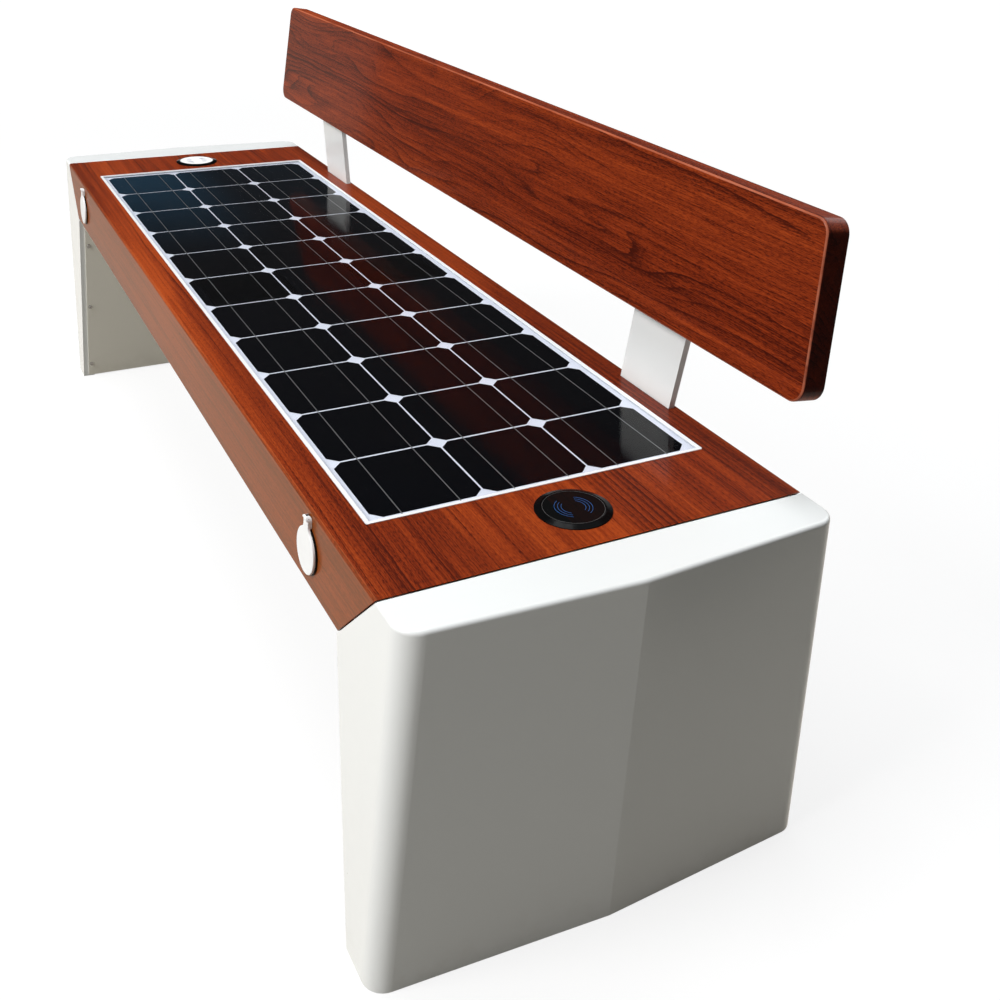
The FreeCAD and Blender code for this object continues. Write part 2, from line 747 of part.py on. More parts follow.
def charger_housing():
    """The black housing: a bevelled ring on the seat and a cup below it for the coil."""
    ring = CHARGER_DISC_RADIUS + FIT
    ledge = CHARGER_PROUD - CHARGER_DISC
    low = -CHARGER_DEPTH
    barrel = CHARGER_BARREL_RADIUS
    inner = barrel - CHARGER_WALL
    shoulder = CHARGER_PROUD - CHARGER_BEVEL_DROP
    slope_top = CHARGER_RADIUS - CHARGER_BEVEL_WIDTH
    profile = [(0, low), (barrel, low), (barrel, 0), (CHARGER_RADIUS, 0), (CHARGER_RADIUS, shoulder)]
    profile += [(slope_top, CHARGER_PROUD), (ring, CHARGER_PROUD), (ring, ledge)]
    profile += [(inner, ledge), (inner, low + CHARGER_WALL), (0, low + CHARGER_WALL)]
    return turned(profile)


def charger_top():
    """The glossy disc that a phone lies on."""
    low = CHARGER_PROUD - CHARGER_DISC
    disc = Part.makeCylinder(CHARGER_DISC_RADIUS, CHARGER_DISC, V(0, 0, low))
    rim = [edge for edge in disc.Edges if edge.BoundBox.ZMin > low + CHARGER_DISC / 2]
    return disc.makeFillet(CHARGER_DISC / 4, rim)


def charger_coil():
    top = CHARGER_PROUD - CHARGER_DISC
    return washer(COIL_OUTER, COIL_INNER, top - COIL_HEIGHT, top)


def charger_nut():
    """The ring nut that holds the housing from below, with notches for a spanner."""
    low = -SEAT_SHEET - CHARGER_NUT_HEIGHT
    nut = washer(CHARGER_NUT_RADIUS, CHARGER_BARREL_RADIUS + FIT, low, -SEAT_SHEET)
    half = CHARGER_NOTCH_WIDTH / 2
    start = CHARGER_NUT_RADIUS - CHARGER_NOTCH_DEPTH
    notch = block(start, CHARGER_NUT_RADIUS + PAST, -half, half, low - PAST, PAST - SEAT_SHEET)
    for step in range(CHARGER_NOTCH_COUNT):
        nut = nut.cut(notch.rotated(V(0, 0, 0), V(0, 0, 1), 360 / CHARGER_NOTCH_COUNT * step))
    return nut


# USB sockets, made with X across, Y up the front face and Z outwards from it

axis_out = HINGE_RADIUS + CAP_GAP
axis_up = TAB_TOP - HINGE_RADIUS


def across(radius, half_length, up, out):
    """A cylinder along X about a line up the face and out from it."""
    return Part.makeCylinder(radius, 2 * half_length, V(-half_length, up, out), V(1, 0, 0))


def usb_socket():
    """The socket: flange, threaded barrel, two ports, and an ear behind the cap's tab."""
    flange = Part.makeCylinder(USB_FLANGE_RADIUS, USB_FLANGE)
    rim = [edge for edge in flange.Edges if edge.BoundBox.ZMin > USB_FLANGE / 2]
    flange = flange.makeFillet(USB_FLANGE / 4, rim)
    barrel = Part.makeCylinder(USB_BARREL_RADIUS, USB_BARREL, V(0, 0, -USB_BARREL))
    half = EAR_WIDTH / 2
    stem_top = axis_up + EAR_RADIUS / 4
    stem = block(-half, half, CAP_RADIUS / 2, stem_top, 0, USB_FLANGE)
    neck = block(-half, half, axis_up - EAR_RADIUS, stem_top, 0, axis_out)
    ear = across(EAR_RADIUS, half, axis_up, axis_out)
    neck = neck.common(across(2 * EAR_RADIUS, half, axis_up, axis_out))
    socket = fused([flange, barrel, stem, neck, ear])
    wide, high = PORT_WIDTH / 2, PORT_HEIGHT / 2
    for row in (-1, 1):
        y = row * PORT_PITCH / 2
        low = USB_FLANGE - PORT_DEPTH
        socket = socket.cut(block(-wide, wide, y - high, y + high, low, USB_FLANGE + PAST))
    return socket.cut(across(HINGE_PIN_RADIUS + HINGE_PLAY, EAR_WIDTH, axis_up, axis_out))


def usb_nut():
    top = -SEAT_SHEET
    nut = hexagon(2 * USB_NUT_RADIUS, top - USB_NUT_HEIGHT, top)
    start = V(0, 0, top - USB_NUT_HEIGHT - PAST)
    return nut.cut(Part.makeCylinder(USB_BARREL_RADIUS + FIT, USB_NUT_HEIGHT + 2 * PAST, start))


def cap_outline(z):
    """The cap seen from the front: a disc with a round-ended tab blended into its top."""
    half = TAB_WIDTH / 2
    blend = TAB_BLEND
    blend_y = math.sqrt((CAP_RADIUS + blend) ** 2 - (half + blend) ** 2)
    share = CAP_RADIUS / (CAP_RADIUS + blend)
    touch = V((half + blend) * share, blend_y * share, z)
    left = V(-touch.x, touch.y, z)
    centre = V(half + blend, blend_y, z)
    aim = (touch + V(half, blend_y, z)) * 0.5 - centre
    inner = centre + aim.normalize() * blend
    shoulder = V(half, blend_y, z)
    round_y = TAB_TOP - half
    edges = [Part.Arc(left, V(0, -CAP_RADIUS, z), touch), Part.Arc(touch, inner, shoulder)]
    edges.append(Part.LineSegment(shoulder, V(half, round_y, z)))
    edges.append(Part.Arc(V(half, round_y, z), V(0, TAB_TOP, z), V(-half, round_y, z)))
    edges.append(Part.LineSegment(V(-half, round_y, z), V(-half, blend_y, z)))
    edges.append(Part.Arc(V(-half, blend_y, z), V(-inner.x, inner.y, z), left))
    return Part.Face(Part.Wire([edge.toShape() for edge in edges]))


def usb_cap():
    """The white cap: a disc whose thick tab is split behind for the socket's ear."""
    low = USB_FLANGE + CAP_GAP
    high = axis_out + HINGE_RADIUS
    cap = cap_outline(low).extrude(V(0, 0, CAP_THICKNESS))
    rim = [edge for edge in cap.Edges if edge.BoundBox.ZMin > low + CAP_THICKNESS / 2]
    cap = cap.makeFillet(CAP_EDGE, rim)
    half = TAB_WIDTH / 2
    knuckle = across(HINGE_RADIUS, half, axis_up, axis_out)
    cheek = block(-half, half, USB_FLANGE_RADIUS + PAST, axis_up, CAP_GAP, low + CAP_THICKNESS / 2)
    cheek = cheek.cut(across(HINGE_RADIUS - CAP_GAP, half, axis_up, axis_out))
    outline = cap_outline(0).extrude(V(0, 0, high + PAST))
    cap = fused([cap, knuckle.common(outline), cheek.common(outline)])
    slot = EAR_WIDTH / 2 + SIDE_PLAY
    reach = 4 * HINGE_RADIUS
    wedge = [V(-slot, axis_up, axis_out)]
    first = EAR_TOP_ANGLE - CAP_TURN
    for step in range(SLOT_STEPS + 1):
        angle = math.radians(first + (EAR_LOW_ANGLE - first) * step / SLOT_STEPS)
        wedge.append(V(-slot, axis_up - reach * math.cos(angle), axis_out + reach * math.sin(angle)))
    cap = cap.cut(extruded(wedge, V(2 * slot, 0, 0)))
    cap = cap.cut(across(EAR_RADIUS + SIDE_PLAY, slot, axis_up, axis_out))
    return cap.cut(across(HINGE_PIN_RADIUS + HINGE_PLAY, half - HINGE_PIN_COVER, axis_up, axis_out))


def usb_hinge_pin():
    return across(HINGE_PIN_RADIUS, TAB_WIDTH / 2 - HINGE_PIN_COVER - SIDE_PLAY, axis_up, axis_out)


# The back board and its posts

back_low = SEAT_HEIGHT + BACK_ABOVE_SEAT
back_front = SEAT_DEPTH / 2 - BACK_FROM_REAR
post_rear = SEAT_DEPTH / 2 - POST_FROM_REAR
lean = math.radians(BACK_LEAN)


def leaned(shape):
    """Stand a board, made upright with its front at y = 0, in its leaning place."""
    shape = shape.copy()
    turn = FreeCAD.Rotation(V(1, 0, 0), -BACK_LEAN)
    shape.Placement = FreeCAD.Placement(V(0, back_front, back_low), turn)
    return shape


def back_outline(inward, y):
    """The board's front outline: a long trapezium with round corners."""
    top_end = back_end - BACK_TAPER
    corners = [(-back_end, 0), (back_end, 0), (top_end, BACK_HEIGHT), (-top_end, BACK_HEIGHT)]
    corners = inset(corners, [inward] * 4)
    return rounded_face([V(x, y, z) for x, z in corners], BACK_CORNER_RADIUS - inward)


def post_in_board():
    """Where the post's front face runs inside the board, measured back from the board's front."""
    rear = (post_rear - back_front) * math.cos(lean) + POST_BEND_GAP * math.sin(lean)
    return rear - POST_THICKNESS


def back_post(side, extra=0.0):
    """A flat post: upright through the seat, then leaning with the board, and splayed outwards."""
    bend_z = back_low - POST_BEND_GAP
    low = SEAT_HEIGHT - POST_FOOT
    run = BACK_HEIGHT + POST_BEND_GAP - POST_TOP_GAP
    rear = post_rear + extra
    tip = (rear + run * math.sin(lean), bend_z + run * math.cos(lean))
    path = [(rear, low), (rear, bend_z), tip]
    bar = folded_along_x(path, POST_THICKNESS + 2 * extra, 0, LENGTH)
    half = POST_WIDTH / 2 + extra
    slope = math.tan(math.radians(POST_SPLAY))
    top = back_low + 2 * BACK_HEIGHT
    foot_x = post_x + slope * (low - SEAT_HEIGHT)
    top_x = post_x + slope * (top - SEAT_HEIGHT)
    outline = [(foot_x - half, low), (foot_x + half, low), (top_x + half, top), (top_x - half, top)]
    post = bar.common(along_y(outline, 0, BASE_DEPTH))
    return mirrored(post) if side < 0 else post


def back_pan():
    """The board's front: a shallow folded pan, slotted below for the two posts."""
    depth = BACK_THICKNESS - BACK_SHEET
    pan = back_outline(0, 0).extrude(V(0, depth, 0))
    rim = [edge for edge in pan.Edges if edge.BoundBox.YMax < FIT]
    pan = pan.makeFillet(BACK_EDGE_RADIUS, rim)
    pan = leaned(pan.cut(back_outline(BACK_SHEET, BACK_SHEET).extrude(V(0, depth, 0))))
    for side in (-1, 1):
        pan = pan.cut(back_post(side, POST_CLEARANCE))
    return pan


def back_cover():
    return leaned(back_outline(0, BACK_THICKNESS - BACK_SHEET).extrude(V(0, BACK_SHEET, 0)))


def stiffener_middle():
    return BACK_HEIGHT / 2


def back_stiffener():
    """The channel inside the board: flanges on the front sheet, web against the posts."""
    middle, half = stiffener_middle(), STIFFENER_WIDTH / 2
    front, rear = BACK_SHEET, post_in_board()
    path = [(front, middle - half - STIFFENER_FLANGE), (front, middle - half)]
    path += [(rear - STIFFENER_SHEET, middle - half), (rear - STIFFENER_SHEET, middle + half)]
    path += [(front, middle + half), (front, middle + half + STIFFENER_FLANGE)]
    path = [(y, z) for y, z in reversed(path)]
    reach = back_end - BACK_TAPER - STIFFENER_END_GAP
    channel = folded_along_x(path, STIFFENER_SHEET, -reach, reach)
    return drilled(leaned(channel), bolt_hole, board_bolt_places(), board_out, 6 * STIFFENER_SHEET)


board_out = V(0, math.cos(lean), -math.sin(lean))
board_up = V(0, math.sin(lean), math.cos(lean))


def board_bolt_places():
    """Points on the post's rear face where it is bolted to the stiffener."""
    height = stiffener_middle()
    start = V(0, back_front, back_low) + board_up * height + board_out * post_in_board()
    shift = math.tan(math.radians(POST_SPLAY)) * (start.z - SEAT_HEIGHT)
    places = []
    for side in (-1, 1):
        for step in (-1, 1):
            x = side * (post_x + shift) + step * BOLT_PITCH / 2
            places.append(start + V(x, 0, 0))
    return places


bracket_z = under_seat - BRACKET_DROP - BRACKET_HEIGHT / 2


def bracket_x():
    return post_x + math.tan(math.radians(POST_SPLAY)) * (bracket_z - SEAT_HEIGHT)


def foot_bolt_places():
    """Points on the rear face of the posts where the brackets are bolted on."""
    step = BOLT_PITCH / 2
    places = [side * bracket_x() + offset for side in (-1, 1) for offset in (-step, step)]
    return [V(x, post_rear, bracket_z) for x in places]


def flange_bolt_places():
    """Points on the outer face of the rear rail where the brackets' flanges are bolted on."""
    reach = BRACKET_WIDTH / 2 + BRACKET_SHEET + (BRACKET_FLANGE - BRACKET_SHEET) / 2
    y = rail_inner + RAIL_SHEET
    offsets = [(side, step) for side in (-1, 1) for step in (-1, 1)]
    return [V(side * bracket_x() + step * reach, y, bracket_z) for side, step in offsets]


def post_bracket():
    """The hat-shaped bracket between the rear rail and the foot of a post."""
    near = rail_inner + RAIL_SHEET
    far = post_rear - POST_THICKNESS - BRACKET_SHEET
    half = BRACKET_WIDTH / 2
    path = [(-half - BRACKET_FLANGE, near), (-half, near), (-half, far)]
    path += [(-x, y) for x, y in reversed(path)]
    path = [(x + bracket_x(), y) for x, y in path]
    low = bracket_z - BRACKET_HEIGHT / 2
    bracket = folded_along_z(path, BRACKET_SHEET, low, low + BRACKET_HEIGHT)
    bracket = drilled(bracket, bolt_hole, foot_bolt_places(), V(0, 1, 0), 4 * POST_THICKNESS)
    return drilled(bracket, bolt_hole, flange_bolt_places(), V(0, 1, 0), 6 * BRACKET_SHEET)


def post_right():
    post = drilled(back_post(1), bolt_hole, foot_bolt_places(), V(0, 1, 0), 4 * POST_THICKNESS)
    return drilled(post, bolt_hole, board_bolt_places(), board_out, 4 * POST_THICKNESS)


def post_bolts():
    """Bolts that hold the posts to their brackets and the brackets to the rear rail."""
    grip = POST_THICKNESS + BRACKET_SHEET
    bolts = [hex_bolt(place, V(0, 1, 0), grip, True) for place in foot_bolt_places()]
    for place in flange_bolt_places():
        seat = place + V(0, BRACKET_SHEET, 0)
        bolts.append(hex_bolt(seat, V(0, 1, 0), BRACKET_SHEET + RAIL_SHEET, True))
    return bolts


def back_bolts():
    """Bolts that hold the posts to the stiffener, with their heads inside the channel."""
    bolts = []
    for place in board_bolt_places():
        seat = place - board_out * STIFFENER_SHEET
        bolts.append(hex_bolt(seat, board_out * -1, STIFFENER_SHEET + POST_THICKNESS, False))
    return bolts


# Write every node

save_pair("leg_shell", leg_shell())
save_pair("leg_inner_plate", leg_inner_plate())
save_pair("leg_plate_screws", *leg_plate_screws())
save_pair("end_frame", end_frame())
save("seat_pan", seat_pan())
save("seat_rail_front", seat_rail(-1))
save("seat_rail_rear", seat_rail(1))
save("cross_members", *cross_members())
save("bottom_cover", bottom_cover())
save("bottom_cover_screws", *bottom_cover_screws())
save("panel_rim", panel_rim())
cells_low = laminate_low + BACKSHEET
cells_high = cells_low + CELL_THICKNESS
save("panel_backsheet", laminate(laminate_low, cells_low))
save("solar_cells", *solar_cells())
save("panel_glass", laminate(cells_high, cells_high + CELL_GLASS))
save("junction_box", junction_box())
save("battery_box", battery_box())
save("charge_controller", charge_controller())
charger_pieces = {"charger_housing": charger_housing, "charger_top": charger_top}
charger_pieces.update({"charger_coil": charger_coil, "charger_nut": charger_nut})
for piece_name, make in charger_pieces.items():
    save_pair(piece_name, make().translated(V(charger_x, 0, SEAT_HEIGHT)))
usb_pieces = {"usb_socket": usb_socket, "usb_nut": usb_nut}
usb_pieces.update({"usb_cap": usb_cap, "usb_hinge_pin": usb_hinge_pin})
for piece_name, make in usb_pieces.items():
    save_pair(piece_name, on_front(make(), 1))
save("back_pan", back_pan())
save("back_cover", back_cover())
save("back_stiffener", back_stiffener())
save("back_bolts", *back_bolts())
save_pair("back_post", post_right())
save_pair("post_bracket", post_bracket())
save("post_bolts", *post_bolts())
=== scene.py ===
import json
import math

import bmesh
import bpy
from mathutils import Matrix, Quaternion, Vector


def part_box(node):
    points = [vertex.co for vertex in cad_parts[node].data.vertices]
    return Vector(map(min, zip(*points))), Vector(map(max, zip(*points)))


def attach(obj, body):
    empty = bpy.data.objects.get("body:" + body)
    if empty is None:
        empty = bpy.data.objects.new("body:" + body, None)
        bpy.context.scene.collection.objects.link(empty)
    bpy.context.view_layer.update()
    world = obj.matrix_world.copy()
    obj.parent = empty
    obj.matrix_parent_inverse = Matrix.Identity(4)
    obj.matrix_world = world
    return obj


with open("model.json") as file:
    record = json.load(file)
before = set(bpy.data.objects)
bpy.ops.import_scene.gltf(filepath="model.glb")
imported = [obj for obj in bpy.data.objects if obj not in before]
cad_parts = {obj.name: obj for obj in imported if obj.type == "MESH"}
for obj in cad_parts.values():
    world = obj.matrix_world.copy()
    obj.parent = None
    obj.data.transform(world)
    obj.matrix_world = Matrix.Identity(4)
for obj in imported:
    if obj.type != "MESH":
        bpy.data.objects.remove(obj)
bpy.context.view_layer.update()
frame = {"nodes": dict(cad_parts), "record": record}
nodes = frame["nodes"]
record = frame["record"]
scene = bpy.context.scene

# Lengths are in metres, angles in degrees and lamp powers in watts.
CAMERA_PLACE = (1.58468, -0.52402, 1.02089)
CAMERA_TURN = (0.734602, 0.433199, 0.248501, 0.459288)
CAMERA_LENS = 40.394
CAMERA_SENSOR = 36.0
CAMERA_REACH = 200.0

CELL_PITCH = 0.1265
CELL_ROWS = 3
FINGER_PITCH = 0.0021
BOARD_LEAN = 7.1

# Where the two ribbons lie across a cell, as a share of its width.
RIBBON_SHARES = (0.245, 0.765)
RIBBON_HALF_WIDTH = 0.0007
RIBBON_HEIGHT = 0.00018
RIBBON_BEVEL = 0.0003
RIBBON_OVERHANG = 0.002

# Radius of each printed arc on a charger, with half the angle it spans.
WAVES = ((0.0126, 52), (0.0161, 58), (0.0196, 60))
WAVE_MIDDLES = (0.5 * math.pi, 1.5 * math.pi)
WAVE_HALF_WIDTH = 0.00025
WAVE_HEIGHT = 0.00012
WAVE_STEPS = 24
# A thin grey ring round each charger's disc: a painted highlight of the disc's edge.
GLINT_INNER = 0.0316
GLINT_OUTER = 0.0320
GLINT_HEIGHT = 0.00010
GLINT_STEPS = 96

# The tongue of a USB port and the spring contacts on it, inset from the port's opening.
TONGUE_SIDE_GAP = 0.0012
TONGUE_FRONT_GAP = 0.0022
TONGUE_BACK_REACH = 0.0022
TONGUE_BOTTOM = 0.0018
TONGUE_TOP = 0.0034
TONGUE_BEVEL = 0.0003
CONTACT_COUNT = 4
CONTACT_HALF_WIDTH = 0.0005
CONTACT_FRONT_GAP = 0.0030
CONTACT_BACK_GAP = 0.0012
CONTACT_TOP = 0.0037
CONTACT_BEVEL = 0.0001

FLOOR_HALF = 30.0
# The floor's glow rises from near the bench to far off, where it is as white as the world.
GLOW_NEAR = 2.0
GLOW_FAR = 7.0
GLOW_NEAR_STRENGTH = 0.80
GLOW_TINT = (1.0, 0.92, 0.79)
CARD_STRENGTH = 6.0
WORLD_LIGHT = (0.97, 0.98, 1.0, 1.0)
WORLD_STRENGTH = 0.050
WHITE = (1.0, 1.0, 1.0, 1.0)

# Flags: start and end on the floor plan, then the lowest and highest height.
FLAGS = {
    "flag_far": ((-4.0, -2.0), (-4.0, 6.0), 0.75, 7.0),
    "flag_front": ((-2.9, -0.85), (1.3, -2.15), 0.0, 1.9),
    "flag_end": ((1.25, 0.35), (1.95, 2.7), 0.0, 1.3),
}
CARD = ((-3.58, 0.52), (-3.58, 0.75), 1.110, 1.160)

# Lamps: place, aim, power, size, colour, and how strongly reflections show them.
LAMP_AIM = (0.0, 0.0, 0.4)
SIDE_LAMP_AIM = (-0.2, 0.0, 0.3)
LAMPS = {
    "key": ((0.5, -4.6, 4.3), LAMP_AIM, 300.0, 3.0, (1.0, 0.995, 0.985), 1.0),
    "top": ((-0.6, -0.4, 5.2), LAMP_AIM, 165.0, 3.0, (0.955, 0.985, 1.0), 0.2),
    "side": ((1.5, -4.2, 0.8), SIDE_LAMP_AIM, 24.0, 1.5, (1.0, 0.985, 0.96), 0.0),
    "rear": ((-0.8, 4.6, 3.2), LAMP_AIM, 70.0, 3.0, (0.96, 0.98, 1.0), 0.2),
}

# Camera, at the photograph's viewing angle.
camera_data = bpy.data.cameras.new("camera")
camera_data.sensor_width = CAMERA_SENSOR
camera_data.lens = CAMERA_LENS
camera_data.clip_end = CAMERA_REACH
camera = bpy.data.objects.new("camera", camera_data)
camera.location = CAMERA_PLACE
camera.rotation_mode = "QUATERNION"
camera.rotation_quaternion = Quaternion(CAMERA_TURN)
scene.collection.objects.link(camera)
scene.camera = camera
scene.view_settings.view_transform = "Standard"


class Tree:
    """The node tree of a material or of the world, built one node at a time."""

    def __init__(self, owner, output_kind):
        owner.use_nodes = True
        self.owner = owner
        self.tree = owner.node_tree
        self.tree.nodes.clear()
        self.output = self.tree.nodes.new(output_kind)

    def put(self, socket, value):
        if isinstance(value, bpy.types.NodeSocket):
            self.tree.links.new(value, socket)
        else:
            socket.default_value = value

    def node(self, kind, settings=(), **inputs):
        made = self.tree.nodes.new(kind)
        for key, value in dict(settings).items():
            setattr(made, key, value)
        for key, value in inputs.items():
            self.put(made.inputs[key.replace("_", " ")], value)
        return made

    def place(self):
        return self.node("ShaderNodeTexCoord").outputs["Object"]

    def parts(self, vector):
        made = self.node("ShaderNodeSeparateXYZ", Vector=vector)
        return made.outputs["X"], made.outputs["Y"], made.outputs["Z"]

    def vectors(self, how, a, b):
        made = self.node("ShaderNodeVectorMath", {"operation": how})
        self.put(made.inputs[0], a)
        self.put(made.inputs[1], b)
        return made

    def noise(self, vector, scale, detail=3.0, rough=0.5, twist=0.0):
        made = self.node("ShaderNodeTexNoise", Vector=vector, Scale=scale, Detail=detail,
                         Roughness=rough, Distortion=twist)
        return made.outputs["Fac"]

    def streaks(self, vector, scale, shift=(0.0, 0.0, 0.0), detail=3.0, rough=0.5):
        """Noise with a scale of its own along each axis."""
        spread = self.node("ShaderNodeMapping", Vector=vector, Scale=scale, Location=shift)
        return self.noise(spread.outputs["Vector"], 1.0, detail, rough)

    def maths(self, how, a, b=0.0, c=0.0):
        made = self.node("ShaderNodeMath", {"operation": how})
        for socket, value in zip(made.inputs, (a, b, c)):
            self.put(socket, value)
        return made.outputs["Value"]

    def between(self, value, low, high, to_low=0.0, to_high=1.0):
        made = self.node("ShaderNodeMapRange", {"interpolation_type": "SMOOTHSTEP"}, Value=value,
                         From_Min=low, From_Max=high, To_Min=to_low, To_Max=to_high)
        return made.outputs["Result"]

    def ramp(self, value, stops):
        made = self.node("ShaderNodeValToRGB", Fac=value)
        made.color_ramp.interpolation = "LINEAR"
        elements = made.color_ramp.elements
        while len(elements) < len(stops):
            elements.new(0.5)
        for element, (where, colour) in zip(elements, stops):
            element.position = where
            element.color = (*colour, 1.0)
        return made.outputs["Color"]

    def mixed(self, amount, a, b, how="MIX"):
        made = self.node("ShaderNodeMix", {"data_type": "RGBA", "blend_type": how})
        _, _, _, _, _, _, first, second = made.inputs[:8]
        self.put(made.inputs[0], amount)
        for socket, value in ((first, a), (second, b)):
            self.put(socket, (*value, 1.0) if isinstance(value, tuple) else value)
        _, _, result = made.outputs[:3]
        return result

    def bump(self, height, depth, strength=1.0):
        made = self.node("ShaderNodeBump", Height=height, Distance=depth, Strength=strength)
        return made.outputs["Normal"]

    def blended(self, amount, a, b):
        """Two shaders, mixed by amount."""
        made = self.node("ShaderNodeMixShader")
        for socket, value in zip(made.inputs, (amount, a, b)):
            self.put(socket, value)
        return made.outputs[0]

    def looked_at(self):
        """1 for the camera's rays and for those of reflections and clear things, else 0."""
        seen = self.node("ShaderNodeLightPath").outputs
        bent = self.maths("MAXIMUM", seen["Is Glossy Ray"], seen["Is Transmission Ray"])
        return self.maths("MAXIMUM", seen["Is Camera Ray"], bent)

    def finish(self, shader):
        self.put(self.output.inputs["Surface"], shader)
        return self.owner

    def surface(self, **inputs):
        return self.finish(self.node("ShaderNodeBsdfPrincipled", **inputs).outputs["BSDF"])


def new_material(name):
    return Tree(bpy.data.materials.new(name), "ShaderNodeOutputMaterial")


# Growth lines: the darkness at each share of a year's width.
YEAR = ((0.0, 0.0), (0.42, 0.10), (0.80, 0.45), (0.93, 1.0), (0.975, 0.9), (1.0, 0.0))
WAVE_PUSH = 1.5
TREMOR_PUSH = 0.30
FADED_TINT = (0.74, 0.50, 0.42)
# Hue of the painted shade on the wood's ends.
END_TINT = (1.0, 0.72, 0.70)
# Colour of the painted sheen that evens out the print on the steep wood faces.
SIDE_SHEEN_COLOUR = (0.262, 0.081, 0.0106)


def printed_wood(name, seed, figure, lines, reach, light, dark, deep, facing, rub_and_highlight, rubbed_and_highlight_colour,
                 side_sheen_share=0.0, end_shade=1.0, coat=0.24):
    """Transfer-printed red wood: its grain runs along X, over the folds too.

    lines is the number of growth lines in a metre, and figure sets how far they wander: low is
    straight grain, high makes arches and eyes, whose size is the inverse of reach. facing is the
    broad face's normal: on the bends beside that face the print is lighter, partly rubbed and
    partly a painted highlight, by as much as rub_and_highlight says. side_sheen_share lays a
    painted sheen over the print on the faces beyond them, which evens it out, and end_shade
    darkens the faces that look along X with painted shade.
    """
    s = new_material(name)
    place = s.place()
    _, y, z = s.parts(place)
    along, across = reach
    swell = s.streaks(place, (along, across, across), (seed, 0.0, 0.0), detail=1.4, rough=0.45)
    wave = s.streaks(place, (3.2, 26.0, 26.0), (0.0, seed, 0.0), detail=3.0, rough=0.55)
    tremor = s.streaks(place, (30.0, 170.0, 170.0), (0.0, 0.0, seed), detail=2.0, rough=0.6)
    field = s.maths("MULTIPLY", s.maths("ADD", y, z), lines)
    for push, strength in ((swell, figure), (wave, WAVE_PUSH), (tremor, TREMOR_PUSH)):
        field = s.maths("MULTIPLY_ADD", push, strength, field)

    # Late wood: the dark edge of each year, some years stronger, and faded here and there.
    year = s.maths("FLOOR", field)
    chance = s.node("ShaderNodeTexWhiteNoise", {"noise_dimensions": "1D"}, W=year).outputs["Value"]
    late = s.ramp(s.maths("FRACT", field), [(where, (level,) * 3) for where, level in YEAR])
    faded = s.streaks(place, (2.0, 22.0, 22.0), (seed, seed, 0.0), detail=2.0, rough=0.5)
    faded = s.between(faded, 0.36, 0.62)
    strong = s.maths("MULTIPLY_ADD", s.maths("MULTIPLY", chance, chance), 0.62, 0.14)
    late = s.maths("MULTIPLY", late, strong)
    late = s.maths("MULTIPLY", late, s.maths("MULTIPLY_ADD", faded, 0.70, 0.30))

    # Broad stripes, fine fibres, and short pores that crowd in the late wood.
    stripe = s.streaks(place, (0.8, 62.0, 62.0), (seed, 0.0, seed), detail=5.0, rough=0.62)
    fibre = s.streaks(place, (9.0, 760.0, 760.0), detail=3.0, rough=0.7)
    dash = s.streaks(place, (150.0, 1500.0, 1500.0), (0.0, 3.0, 1.0), detail=1.0, rough=0.5)
    crowd = s.maths("MULTIPLY_ADD", late, -0.16, s.maths("MULTIPLY_ADD", stripe, -0.10, 0.58))
    pores = s.between(s.maths("SUBTRACT", dash, crowd), -0.03, 0.05)
    tone = s.maths("MULTIPLY_ADD", stripe, 1.15, -0.125)
    tone = s.maths("ADD", tone, s.between(swell, 0.55, 0.70, 0.0, 0.22))
    tone = s.maths("ADD", tone, s.maths("MULTIPLY_ADD", fibre, 1.15, -0.575))
    tone = s.maths("SUBTRACT", tone, s.maths("MULTIPLY", late, 0.85))
    tone = s.maths("SUBTRACT", tone, s.maths("MULTIPLY", pores, 0.24))
    colour = s.ramp(tone, [(0.02, deep), (0.36, dark), (0.80, light)])
    hue = s.streaks(place, (0.9, 10.0, 10.0), (0.0, 0.0, seed))
    colour = s.mixed(s.between(hue, 0.35, 0.70, 0.0, 0.32), colour, FADED_TINT, "MULTIPLY")

    # The bends are lighter, partly rubbed and partly a painted highlight; the steep faces take a painted
    # sheen that evens them out; the ends take painted shade.
    normal = s.node("ShaderNodeTexCoord").outputs["Normal"]
    faced = s.maths("ABSOLUTE", s.vectors("DOT_PRODUCT", normal, facing).outputs["Value"])
    fold = s.maths("MULTIPLY", s.between(faced, 0.30, 0.55), s.between(faced, 0.90, 0.985, 1.0, 0.0))
    # Painted highlight, mixed with wear: the bends are lightened towards a pale orange.
    rubbed_and_highlight = s.between(s.streaks(place, (7.0, 50.0, 50.0)), 0.35, 0.60, rub_and_highlight * 0.45, rub_and_highlight)
    colour = s.mixed(s.maths("MULTIPLY", fold, rubbed_and_highlight), colour, rubbed_and_highlight_colour)
    # Painted sheen: the steep faces are mixed towards an even, lifted colour.
    if side_sheen_share:
        side = s.between(faced, 0.20, 0.45, side_sheen_share, 0.0)
        colour = s.mixed(side, colour, SIDE_SHEEN_COLOUR)
    # Painted shade: faces that look along X are darkened.
    if end_shade < 1.0:
        normal_x, _, _ = s.parts(normal)
        end = s.between(s.maths("ABSOLUTE", normal_x), 0.80, 0.97)
        shade = tuple(end_shade * share for share in END_TINT)
        colour = s.mixed(end, colour, shade, "MULTIPLY")
    grooves = s.bump(tone, 0.00006, 0.22)
    skin = s.bump(s.noise(place, 300.0, 1.0, 0.4), 0.00003, 0.05)
    return s.surface(Base_Color=colour, Roughness=0.50, IOR=1.5, Specular_IOR_Level=0.06,
                     Normal=grooves, Coat_Weight=coat, Coat_Roughness=0.09, Coat_IOR=1.42,
                     Coat_Normal=skin)


